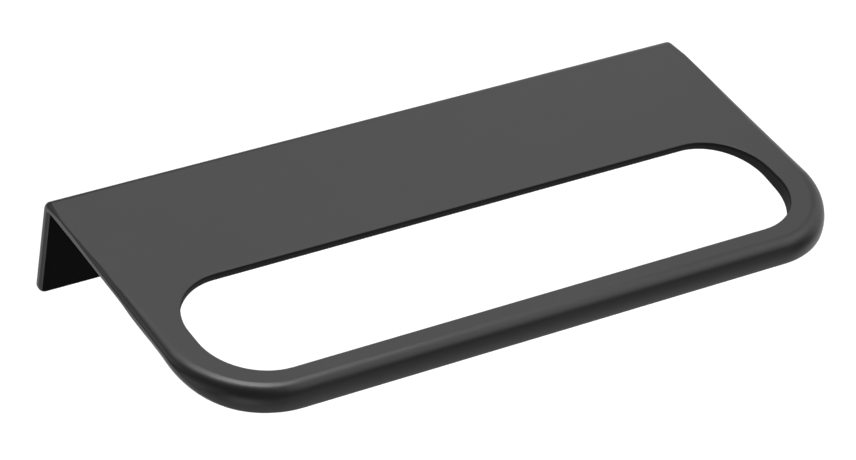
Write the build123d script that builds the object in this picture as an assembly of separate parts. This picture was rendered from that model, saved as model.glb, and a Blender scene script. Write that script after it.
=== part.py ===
from build123d import *

import math
import os

os.makedirs("parts", exist_ok=True)

# One-piece edge pull for a drawer or door front, cast in metal.
# A thin plate lies on the top edge of the front, and a flange behind it takes two screws.
# In front of the panel the plate has a long finger slot and thickens into a rounded grip bar.
# Frame: X along the handle, -Y towards the user, +Z up.
# The origin is midway between the two screw holes, on the flange face that meets the panel.

# Overall sizes, in millimetres
length = 120.0
depth = 53.3
corner_radius = 15.2
rear_inset = 0.4

# Plate and flange
plate_thickness = 1.3
flange_thickness = 1.6
flange_height = 17.75
flange_corner_radius = 1.5
outer_bend_radius = 1.5
inner_bend_radius = 0.5

# Finger slot, with the arms at its ends and the grip bar in front of it
slot_width = 23.35
arm_width = 5.82
bar_width = 5.5
slot_corner_radius = 10.3
slot_top_edge = 0.25
slot_lower_edge = 0.25

# Underside of the arms and the grip bar: a ramp between the plate and the thick nose
ramp_length = 23.3
nose_length = 6.0
nose_thickness = 3.6
ramp_start_blend = 30.0
ramp_end_blend = 80.0

# Rounding of the outer edge: soft round the flange's rear face, fine where the plate begins,
# then wider along the arms and widest at the front
flange_round = 0.9
flange_round_run = 3.5
fine_round = 0.3
fine_round_end = 8.0
mid_round_run = 14.3
mid_round_across = 1.5
mid_wall = 0.3
corner_round_across = 2.14
corner_wall = 0.2
nose_round = 3.0

# Rounding of the lower edge: fine, but wide where the arms run into the corners
lower_round = 0.35
arm_round_run = 12.3
arm_round = 1.7
arm_round_turn = 60.0
round_turn_angle = 80.0

# Screw holes
screw_spacing = 96.0
screw_drop = 9.6
screw_hole_radius = 2.2

# Reach of the cutting shapes outside the metal, and their overlap over the faces that they meet
cut_reach = 0.25
cut_overlap = 0.003

# Places that follow from the sizes above
slot_length = length - 2 * arm_width
slot_to_flange = depth - bar_width - slot_width
ramp_end = depth - nose_length
ramp_start = ramp_end - ramp_length
half_length = length / 2
rear_half = half_length - rear_inset
corner_x = half_length - corner_radius
corner_y = depth - corner_radius
side_run = corner_y - fine_round_end
side_reach = math.hypot(side_run, corner_radius - rear_inset)
side_turn = math.acos(corner_radius / side_reach)
side_angle = math.degrees(math.atan2(side_run, corner_radius - rear_inset) - side_turn)
side_end = corner_y - corner_radius * math.sin(math.radians(side_angle))
nose_wall = nose_thickness - nose_round - lower_round
left = Vector(-1, 0, 0)
front = Vector(0, -1, 0)
rear = Vector(0, 1, 0)
up = Vector(0, 0, 1)
down = Vector(0, 0, -1)


def underside_depth(distance):
    """Thickness under the top face, at a distance in front of the flange."""
    slope = math.atan2(nose_thickness - plate_thickness, ramp_end - ramp_start)
    start_reach = ramp_start_blend * math.tan(slope / 2)
    end_reach = ramp_end_blend * math.tan(slope / 2)
    if distance <= ramp_start - start_reach:
        return plate_thickness
    if distance <= ramp_start + start_reach * math.cos(slope):
        run = distance - ramp_start + start_reach
        return plate_thickness + ramp_start_blend - math.sqrt(ramp_start_blend**2 - run**2)
    if distance <= ramp_end - end_reach * math.cos(slope):
        return plate_thickness + (distance - ramp_start) * math.tan(slope)
    if distance <= ramp_end + end_reach:
        run = ramp_end + end_reach - distance
        return nose_thickness - ramp_end_blend + math.sqrt(ramp_end_blend**2 - run**2)
    return nose_thickness


def corner_place(angle, height):
    """Point on the sharp edge of the left front corner, angle degrees round from the arm."""
    return Vector(
        -corner_x - corner_radius * math.cos(math.radians(angle)),
        -corner_y - corner_radius * math.sin(math.radians(angle)),
        height,
    )


def corner_outward(angle):
    """Direction out of the left front corner, angle degrees round from the arm."""
    return Vector(-math.cos(math.radians(angle)), -math.sin(math.radians(angle)), 0)


def side_place(distance, height):
    """Point on the left side, which spreads a little from the flange to the front corner."""
    run = max(0, distance - fine_round_end)
    spread = run * math.tan(math.radians(side_angle))
    return Vector(-rear_half - spread, -distance, height)


def plan_outline():
    """Outline of the handle seen from above, open to the rear of the flange."""
    behind = Vector(0, flange_thickness + 1, 0)
    side = [
        Edge.make_line(behind, behind + left * rear_half),
        Edge.make_line(behind + left * rear_half, side_place(fine_round_end, 0)),
        Edge.make_line(side_place(fine_round_end, 0), corner_place(-side_angle, 0)),
        Edge.make_three_point_arc(
            corner_place(-side_angle, 0), corner_place(45, 0), corner_place(90, 0)
        ),
        Edge.make_line(corner_place(90, 0), Vector(0, -depth, 0)),
    ]
    return Face(Wire(side + [edge.mirror(Plane.YZ) for edge in side]))


def plain_body():
    """Bent section of flange, plate and grip bar, drawn out along X inside the plan outline."""
    corners = [
        (0, -flange_height),
        (0, -plate_thickness),
        (-ramp_start, -plate_thickness),
        (-ramp_end, -nose_thickness),
        (-depth, -nose_thickness),
        (-depth, 0),
        (flange_thickness, 0),
        (flange_thickness, -flange_height),
    ]
    section = make_face(Polyline(*corners, close=True))
    for place, radius in [
        (corners[1], inner_bend_radius),
        (corners[2], ramp_start_blend),
        (corners[3], ramp_end_blend),
        (corners[6], outer_bend_radius),
    ]:
        corner = section.vertices().sort_by_distance((place[0], place[1], 0))[0]
        section = fillet(corner, radius)
    body = extrude(Plane.YZ * section, half_length, both=True)
    body = body & extrude(Pos(0, 0, 1) * plan_outline(), -flange_height - 2)
    lower = body.edges().filter_by(Axis.Y).group_by(Axis.Z)[0]
    return fillet(lower, flange_corner_radius)


def eased(share):
    """Share from 0 to 1 with a level start and end."""
    return share * share * (3 - 2 * share)


def waste(edge, outward, upward, across, deep):
    """Waste section between a sharp edge and its rounding: across on the face, deep on the wall."""
    centre = edge - outward * (across - cut_overlap) - upward * (deep - cut_overlap)
    on_wall = centre + outward * across
    on_face = centre + upward * deep
    below = on_wall + outward * cut_reach
    above = on_face + upward * cut_reach
    arc_plane = Plane(origin=centre, x_dir=outward, z_dir=outward.cross(upward))
    if across == deep:
        arc = Edge.make_circle(across, arc_plane, 0, 90)
    else:
        arc = Edge.make_ellipse(across, deep, arc_plane, 0, 90)
    lines = [
        Edge.make_line(on_face, above),
        Edge.make_line(above, above + outward * (across + cut_reach)),
        Edge.make_line(above + outward * (across + cut_reach), below),
        Edge.make_line(below, on_wall),
    ]
    return Face(Wire([arc] + lines))


def corner_steps(count):
    """Stations round the left front corner: share of the turn, angle and size of the lower rounding."""
    steps = []
    for step in range(count):
        share = step / (count - 1)
        angle = share * (round_turn_angle + side_angle) - side_angle
        fade = min(1, (angle + side_angle) / (arm_round_turn + side_angle))
        size = arm_round - (arm_round - lower_round) * eased(fade)
        steps.append((share, angle, size))
    return steps


def corner_depth(angle):
    """Thickness at the sharp edge of the left front corner, angle degrees round from the arm."""
    return underside_depth(corner_y + corner_radius * math.sin(math.radians(angle)))


def flange_waste(face_y, upward, size):
    """Rounding round one face of the flange: bottom edge, lower corner and end edge."""
    bottom_z = -flange_height + flange_corner_radius
    corner_face_x = -rear_half + flange_corner_radius
    bottom = waste(Vector(corner_face_x, face_y, -flange_height), down, upward, size, size)
    turn = Axis((corner_face_x, face_y, bottom_z), (0, 1, 0))
    end = waste(Vector(-rear_half, face_y, bottom_z), left, upward, size, size)
    return bottom, turn, end


def upper_waste():
    """Waste along the top edge, from the middle of the flange to the middle of the front."""
    bottom, turn, end = flange_waste(flange_thickness, rear, flange_round)
    bend_y = flange_thickness - outer_bend_radius
    side = waste(Vector(-rear_half, -flange_round_run, 0), left, up, fine_round, fine_round)
    fine = waste(side_place(fine_round_end, 0), left, up, fine_round, fine_round)
    mid_edge = side_place(corner_y - mid_round_run, 0)
    mid_round_down = plate_thickness - lower_round - mid_wall
    mid = waste(mid_edge, corner_outward(-side_angle), up, mid_round_across, mid_round_down)
    pieces = [
        extrude(bottom, rear_half - flange_corner_radius, dir=(1, 0, 0)),
        revolve(end, turn, -90),
        extrude(end, flange_height - flange_corner_radius - outer_bend_radius, dir=(0, 0, 1)),
        extrude(side, fine_round_end - flange_round_run, dir=(0, -1, 0)),
    ]
    bending = []
    for step in range(5):
        angle = math.radians(90 * step / 4)
        outer = Vector(0, math.cos(angle), math.sin(angle))
        middle = Vector(-rear_half, bend_y, -outer_bend_radius)
        edge = middle + outer * outer_bend_radius
        bending.append(waste(edge, left, outer, flange_round, flange_round))
    pieces.append(loft(bending))
    pieces.append(loft([bending[-1], side], ruled=True))
    turning = []
    for share, angle, size in corner_steps(9):
        across = nose_round - (nose_round - corner_round_across) * (1 - share) ** 3
        wall = nose_wall + (corner_wall - nose_wall) * (1 - share) ** 3
        deep = corner_depth(angle) - size - wall
        turning.append(waste(corner_place(angle, 0), corner_outward(angle), up, across, deep))
    pieces.append(loft([fine, mid, turning[0]], ruled=True))
    pieces.append(loft(turning))
    rest = 90 - round_turn_angle
    pieces.append(revolve(turning[-1], Axis((-corner_x, -corner_y, 0), (0, 0, 1)), rest))
    nose = waste(Vector(-corner_x, -depth, 0), front, up, nose_round, nose_round)
    pieces.append(extrude(nose, corner_x, dir=(1, 0, 0)))
    return pieces


def lower_waste():
    """Waste along the lower edge, from the middle of the flange to the middle of the front."""
    bottom, turn, end = flange_waste(0, front, lower_round)
    bend_y = -inner_bend_radius
    bend_z = -plate_thickness - inner_bend_radius
    flat = waste(Vector(-rear_half, bend_y, -plate_thickness), left, down, lower_round, lower_round)
    flat_edge = side_place(fine_round_end, -plate_thickness)
    flat_end = ramp_start - ramp_start_blend * 0.1
    pieces = [
        extrude(bottom, rear_half - flange_corner_radius, dir=(1, 0, 0)),
        revolve(end, turn, -90),
        extrude(end, flange_height - flange_corner_radius + bend_z, dir=(0, 0, 1)),
        revolve(flat, Axis((0, bend_y, bend_z), (1, 0, 0)), -90),
        extrude(flat, fine_round_end + bend_y, dir=(0, -1, 0)),
    ]
    along = []
    for step in range(17):
        place = flat_end + (side_end - flat_end) * step / 16
        share = max(0, 1 - (side_end - place) / arm_round_run)
        size = lower_round + (arm_round - lower_round) * eased(share)
        edge = side_place(place, -underside_depth(place))
        along.append(waste(edge, corner_outward(-side_angle), down, size, size))
    start = waste(flat_edge, left, down, lower_round, lower_round)
    pieces.append(loft([start, along[0]], ruled=True))
    pieces.append(loft(along))
    turning = []
    for share, angle, size in corner_steps(13):
        edge = corner_place(angle, -corner_depth(angle))
        turning.append(waste(edge, corner_outward(angle), down, size, size))
    pieces.append(loft(turning))
    rest = 90 - round_turn_angle
    pieces.append(revolve(turning[-1], Axis((-corner_x, -corner_y, 0), (0, 0, 1)), rest))
    nose_edge = Vector(-corner_x, -depth, -nose_thickness)
    nose = waste(nose_edge, front, down, lower_round, lower_round)
    pieces.append(extrude(nose, corner_x, dir=(1, 0, 0)))
    return pieces


def slot_cutter():
    """Upright block with rounded corners that makes the finger slot."""
    middle_y = -slot_to_flange - slot_width / 2
    outline = RectangleRounded(slot_length, slot_width, slot_corner_radius)
    return extrude(Pos(0, middle_y, 1) * outline, -nose_thickness - 2)


def screw_holes():
    """Two round cutters through the flange, level with the origin."""
    holes = []
    for side in (-1, 1):
        centre = (side * screw_spacing / 2, flange_thickness / 2, -screw_drop)
        upright = Cylinder(screw_hole_radius, 4 * flange_thickness)
        holes.append(Pos(*centre) * Rot(90, 0, 0) * upright)
    return holes


def in_slot(edge):
    """True for an edge along the rim of the finger slot, upper or lower."""
    box = edge.bounding_box()
    across = max(box.max.X, -box.min.X) < slot_length / 2 + 0.1
    along = box.max.Y < 0.1 - slot_to_flange and box.min.Y > -slot_to_flange - slot_width - 0.1
    return across and along and box.size.X + box.size.Y > 0.05


def edge_pull():
    """Whole handle in the part's frame."""
    left_side = upper_waste() + lower_waste()
    right_side = [mirror(piece, about=Plane.YZ) for piece in left_side]
    body = plain_body().cut(*left_side, *right_side)
    body = body.cut(slot_cutter())
    upper_rim = [edge for edge in body.edges() if in_slot(edge) and edge.center().Z > -0.01]
    body = fillet(upper_rim, slot_top_edge)
    middle = -plate_thickness / 2
    lower_rim = [edge for edge in body.edges() if in_slot(edge) and edge.center().Z < middle]
    body = fillet(lower_rim, slot_lower_edge)
    body = body.cut(*screw_holes())
    return Pos(0, 0, screw_drop) * body


handle = edge_pull()
export_step(handle, "parts/edge_pull.step")
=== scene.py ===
import math

import bpy
from mathutils import Matrix, Vector


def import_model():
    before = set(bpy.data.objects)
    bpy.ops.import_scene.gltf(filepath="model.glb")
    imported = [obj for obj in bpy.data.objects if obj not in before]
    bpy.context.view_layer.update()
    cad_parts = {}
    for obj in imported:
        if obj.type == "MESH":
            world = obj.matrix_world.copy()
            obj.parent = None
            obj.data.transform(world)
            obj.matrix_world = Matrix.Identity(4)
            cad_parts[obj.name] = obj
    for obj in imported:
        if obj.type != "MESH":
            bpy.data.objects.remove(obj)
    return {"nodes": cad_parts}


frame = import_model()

scene = bpy.context.scene
handle = frame["nodes"]["edge_pull"]
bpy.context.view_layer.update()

# Camera of the photo. Angles are in degrees, places in metres, lens and sensor in millimetres
CAMERA_AZIMUTH = -38.509
CAMERA_ELEVATION = 37.362
CAMERA_ROLL = 10.251
CAMERA_DISTANCE = 0.62009
CAMERA_AIM = (0.0, -0.018857, 0.007029)
CAMERA_ACROSS = 0.001144
CAMERA_UP = 0.004774
CAMERA_LENS = 164.63
CAMERA_SENSOR = 36
CAMERA_NEAR = 0.01
CAMERA_FAR = 50

# Lamps: name, azimuth and elevation in degrees, size in metres, radiance
LAMPS = [
    ("lamp_overhead", 143, 68, 0.30, 14.0),
    ("lamp_overhead_right", 125, 62, 0.30, 2.3),
    ("lamp_overhead_left", 165, 66, 0.30, 5.8),
    ("lamp_right_high", 72, 52, 0.70, 1.9),
    ("lamp_right_middle", 100, 45, 0.40, 1.3),
    ("lamp_right_low", 95, 17, 0.80, 0.9),
    ("lamp_front_right_low", 25, 12, 0.80, 0.55),
    ("lamp_front_low", 353, 12, 0.50, 0.5),
    ("lamp_front_left_low", 324, 10, 0.60, 1.4),
    ("lamp_left_low", 275, 10, 0.50, 1.5),
    ("lamp_left", 285, 33, 0.60, 0.5),
    ("lamp_back_left", 222, 35, 0.70, 1.3),
    ("lamp_back", 165, 40, 0.35, 2.3),
    ("lamp_back_right", 141, 36, 0.40, 1.37),
    ("lamp_back_right_side", 118, 36, 0.35, 0.65),
    ("lamp_back_right_low", 138, 13, 0.50, 1.0),
    ("lamp_back_right_floor", 125, 3, 0.40, 1.2),
]

# Point that the lamps face, their distance from it in metres, and the world's even light
LAMP_AIM = (0.0, -0.025, 0.0)
LAMP_DISTANCE = 1.2
WORLD_STRENGTH = 0.15

# Floor far below the handle, and the light that it adds for the rays that see it
FLOOR_Z = -0.16
FLOOR_HALF = 6.0
FLOOR_COLOUR = 0.8
FLOOR_ROUGHNESS = 0.9
FLOOR_GLOW = 0.3

# Black coat: colour level and roughness, each from its low to its high, and specular level
COAT_LEVEL = (0.0075, 0.0105)
COAT_ROUGHNESS = (0.335, 0.365)
COAT_SPECULAR = 0.44

# Slow clouds that carry both, with the part of the noise that is stretched, and the fine grain
CLOUD_SCALE = 60
CLOUD_DETAIL = 3
CLOUD_RANGE = (0.3, 0.7)
GRAIN_SCALE = 5000
GRAIN_DETAIL = 2
GRAIN_STRENGTH = 0.1
GRAIN_HEIGHT = 0.00001

# Painted shade inside the bend of flange and plate and on the slot's walls: the coat there is near
# black and fully rough, and partly metallic in the bend, to take its sheen off where shade falls
PAINTED_SHADE_LEVEL = 0.001
PAINTED_SHADE_ROUGHNESS = 1.0
BEND_SHADE_METALLIC = 0.7

# Room inside the bend, in metres
INSIDE_X = 0.0590
INSIDE_Y = (-0.0215, 0.0003)
INSIDE_Z = 0.00825

# Outline of the slot and how far past it the walls are taken, in metres
SLOT_MIDDLE_Y = -0.036125
SLOT_HALF_LENGTH = 0.05418
SLOT_HALF_WIDTH = 0.011675
SLOT_RADIUS = 0.0103
SLOT_REACH = 0.0001

# Height where the slot's walls begin, and the fade of the painted shade on them further down, in metres
SLOT_WALL_TOP = 0.00952
SLOT_WALL_SHADE_FROM = 0.0091
SLOT_WALL_SHADE_FADE = 0.0008
SLOT_WALL_SHADE_LEAST = 0.8


def direction(azimuth, elevation):
    """Direction from the handle, from degrees: azimuth 0 is the front and 90 the right."""
    a = math.radians(azimuth)
    e = math.radians(elevation)
    return Vector((math.sin(a) * math.cos(e), -math.cos(a) * math.cos(e), math.sin(e)))


def camera():
    """The photo's camera."""
    a = math.radians(CAMERA_AZIMUTH)
    r = math.radians(CAMERA_ROLL)
    back = direction(CAMERA_AZIMUTH, CAMERA_ELEVATION)
    level = Vector((math.cos(a), math.sin(a), 0))
    rise = back.cross(level)
    right = level * math.cos(r) + rise * math.sin(r)
    up = rise * math.cos(r) - level * math.sin(r)
    place = Vector(CAMERA_AIM) - right * CAMERA_ACROSS - up * CAMERA_UP + back * CAMERA_DISTANCE
    data = bpy.data.cameras.new("photo_camera")
    data.lens = CAMERA_LENS
    data.sensor_width = CAMERA_SENSOR
    data.clip_start = CAMERA_NEAR
    data.clip_end = CAMERA_FAR
    obj = bpy.data.objects.new("photo_camera", data)
    turn = Matrix((right, up, back)).transposed()
    obj.matrix_world = Matrix.Translation(place) @ turn.to_4x4()
    scene.collection.objects.link(obj)
    scene.camera = obj


def feed(tree, socket, value):
    """Give a node's input a number, or link another node's output to it."""
    if isinstance(value, (int, float)):
        socket.default_value = value
    else:
        tree.links.new(value, socket)


def math_node(tree, operation, first, second=0):
    """Output of a math node; each input is a socket or a number."""
    node = tree.nodes.new("ShaderNodeMath")
    node.operation = operation
    feed(tree, node.inputs[0], first)
    feed(tree, node.inputs[1], second)
    return node.outputs["Value"]


def blend(tree, factor, first, second):
    """Number that goes from first to second with the factor; each is a socket or a number."""
    node = tree.nodes.new("ShaderNodeMix")
    node.data_type = "FLOAT"
    feed(tree, node.inputs["Factor"], factor)
    feed(tree, node.inputs["A"], first)
    feed(tree, node.inputs["B"], second)
    return node.outputs["Result"]


def noise(tree, place, scale, detail):
    """Noise value at a place of the object."""
    node = tree.nodes.new("ShaderNodeTexNoise")
    node.inputs["Scale"].default_value = scale
    node.inputs["Detail"].default_value = detail
    tree.links.new(place, node.inputs["Vector"])
    return node.outputs["Fac"]


def spread(tree, value, low, high):
    """Value of the clouds stretched from their range to low and high."""
    node = tree.nodes.new("ShaderNodeMapRange")
    node.inputs["From Min"].default_value = CLOUD_RANGE[0]
    node.inputs["From Max"].default_value = CLOUD_RANGE[1]
    node.inputs["To Min"].default_value = low
    node.inputs["To Max"].default_value = high
    tree.links.new(value, node.inputs["Value"])
    return node.outputs["Result"]


def bend_shade_mask(tree, parts):
    """Mask of the painted shade inside the bend of flange and plate: 1 on the faces there, 0 elsewhere.
    """
    across = math_node(tree, "ABSOLUTE", parts.outputs["X"])
    mask = math_node(tree, "LESS_THAN", across, INSIDE_X)
    for socket, operation, limit in [
        ("Y", "GREATER_THAN", INSIDE_Y[0]),
        ("Y", "LESS_THAN", INSIDE_Y[1]),
        ("Z", "LESS_THAN", INSIDE_Z),
    ]:
        limited = math_node(tree, operation, parts.outputs[socket], limit)
        mask = math_node(tree, "MULTIPLY", mask, limited)
    return mask


def slot_wall_shade_mask(tree, parts):
    """Mask of the painted shade on the slot's walls: 1 at their top, less further down, and 0 on the
    rest of the handle.

    A point belongs to the walls when it is below their top and within reach of the slot's
    outline, a rectangle with round corners.
    """
    lengthwise = math_node(tree, "ABSOLUTE", parts.outputs["X"])
    crosswise = math_node(tree, "SUBTRACT", parts.outputs["Y"], SLOT_MIDDLE_Y)
    crosswise = math_node(tree, "ABSOLUTE", crosswise)
    squares = []
    for along, half in [(lengthwise, SLOT_HALF_LENGTH), (crosswise, SLOT_HALF_WIDTH)]:
        past = math_node(tree, "SUBTRACT", along, half - SLOT_RADIUS)
        past = math_node(tree, "MAXIMUM", past)
        squares.append(math_node(tree, "MULTIPLY", past, past))
    distance = math_node(tree, "SQRT", math_node(tree, "ADD", *squares))
    near = math_node(tree, "LESS_THAN", distance, SLOT_RADIUS + SLOT_REACH)
    low = math_node(tree, "LESS_THAN", parts.outputs["Z"], SLOT_WALL_TOP)
    walls = math_node(tree, "MULTIPLY", near, low)
    below = math_node(tree, "SUBTRACT", SLOT_WALL_SHADE_FROM, parts.outputs["Z"])
    fade = math_node(tree, "DIVIDE", below, SLOT_WALL_SHADE_FADE)
    share = math_node(tree, "SUBTRACT", 1, fade)
    share = math_node(tree, "MAXIMUM", share, SLOT_WALL_SHADE_LEAST)
    share = math_node(tree, "MINIMUM", share, 1)
    return math_node(tree, "MULTIPLY", walls, share)


def black_coat():
    """Satin black coat: very dark, fine grain, slightly uneven gloss, with painted shade in the bend
    and at the top of the slot's walls.
    """
    material = bpy.data.materials.new("black_coat")
    material.use_nodes = True
    tree = material.node_tree
    shader = tree.nodes["Principled BSDF"]
    shader.inputs["Specular IOR Level"].default_value = COAT_SPECULAR
    place = tree.nodes.new("ShaderNodeTexCoord").outputs["Object"]
    parts = tree.nodes.new("ShaderNodeSeparateXYZ")
    tree.links.new(place, parts.inputs["Vector"])
    # Painted shade: inside the bend and at the top of the slot's walls the coat is made near black and
    # fully rough, where shade falls
    bend = bend_shade_mask(tree, parts)
    painted_shade = math_node(tree, "MAXIMUM", bend, slot_wall_shade_mask(tree, parts))
    cloud = noise(tree, place, CLOUD_SCALE, CLOUD_DETAIL)
    level = blend(tree, painted_shade, spread(tree, cloud, *COAT_LEVEL), PAINTED_SHADE_LEVEL)
    colour = tree.nodes.new("ShaderNodeCombineColor")
    for name in ("Red", "Green", "Blue"):
        tree.links.new(level, colour.inputs[name])
    tree.links.new(colour.outputs["Color"], shader.inputs["Base Color"])
    rough = blend(tree, painted_shade, spread(tree, cloud, *COAT_ROUGHNESS), PAINTED_SHADE_ROUGHNESS)
    tree.links.new(rough, shader.inputs["Roughness"])
    # Painted shade: partly metallic in the bend, which takes most of the sheen off the near-black coat
    # there
    metallic = math_node(tree, "MULTIPLY", bend, BEND_SHADE_METALLIC)
    tree.links.new(metallic, shader.inputs["Metallic"])
    bump = tree.nodes.new("ShaderNodeBump")
    bump.inputs["Strength"].default_value = GRAIN_STRENGTH
    bump.inputs["Distance"].default_value = GRAIN_HEIGHT
    grain = noise(tree, place, GRAIN_SCALE, GRAIN_DETAIL)
    tree.links.new(grain, bump.inputs["Height"])
    tree.links.new(bump.outputs["Normal"], shader.inputs["Normal"])
    return material


def pale_floor():
    """Pale material that the camera, reflections and glass see as white."""
    material = bpy.data.materials.new("floor")
    material.use_nodes = True
    tree = material.node_tree
    shader = tree.nodes["Principled BSDF"]
    shader.inputs["Base Color"].default_value = (FLOOR_COLOUR, FLOOR_COLOUR, FLOOR_COLOUR, 1)
    shader.inputs["Roughness"].default_value = FLOOR_ROUGHNESS
    shader.inputs["Specular IOR Level"].default_value = 0
    shader.inputs["Emission Color"].default_value = (1, 1, 1, 1)
    rays = tree.nodes.new("ShaderNodeLightPath")
    seen = rays.outputs["Is Camera Ray"]
    for name in ("Is Glossy Ray", "Is Transmission Ray"):
        seen = math_node(tree, "MAXIMUM", seen, rays.outputs[name])
    glow = math_node(tree, "MULTIPLY", seen, FLOOR_GLOW)
    tree.links.new(glow, shader.inputs["Emission Strength"])
    return material


def floor():
    """Plain floor, one square face."""
    mesh = bpy.data.meshes.new("floor")
    corners = []
    for x, y in ((-1, -1), (1, -1), (1, 1), (-1, 1)):
        corners.append((x * FLOOR_HALF, y * FLOOR_HALF, FLOOR_Z))
    mesh.from_pydata(corners, [], [(0, 1, 2, 3)])
    mesh.materials.append(pale_floor())
    obj = bpy.data.objects.new("floor", mesh)
    scene.collection.objects.link(obj)


def lamp(name, azimuth, elevation, size, radiance):
    """Square softbox that faces the handle."""
    away = direction(azimuth, elevation)
    data = bpy.data.lights.new(name, "AREA")
    data.shape = "SQUARE"
    data.size = size
    data.energy = radiance * math.pi * size * size
    obj = bpy.data.objects.new(name, data)
    obj.rotation_mode = "QUATERNION"
    obj.rotation_quaternion = away.to_track_quat("Z", "Y")
    obj.location = Vector(LAMP_AIM) + away * LAMP_DISTANCE
    scene.collection.objects.link(obj)


def world():
    """Even light from all round."""
    scene.world = bpy.data.worlds.new("studio")
    scene.world.use_nodes = True
    background = scene.world.node_tree.nodes["Background"]
    background.inputs["Color"].default_value = (1, 1, 1, 1)
    background.inputs["Strength"].default_value = WORLD_STRENGTH


scene.view_settings.view_transform = "Standard"
camera()
handle.data.materials.clear()
handle.data.materials.append(black_coat())
floor()
for values in LAMPS:
    lamp(*values)
world()
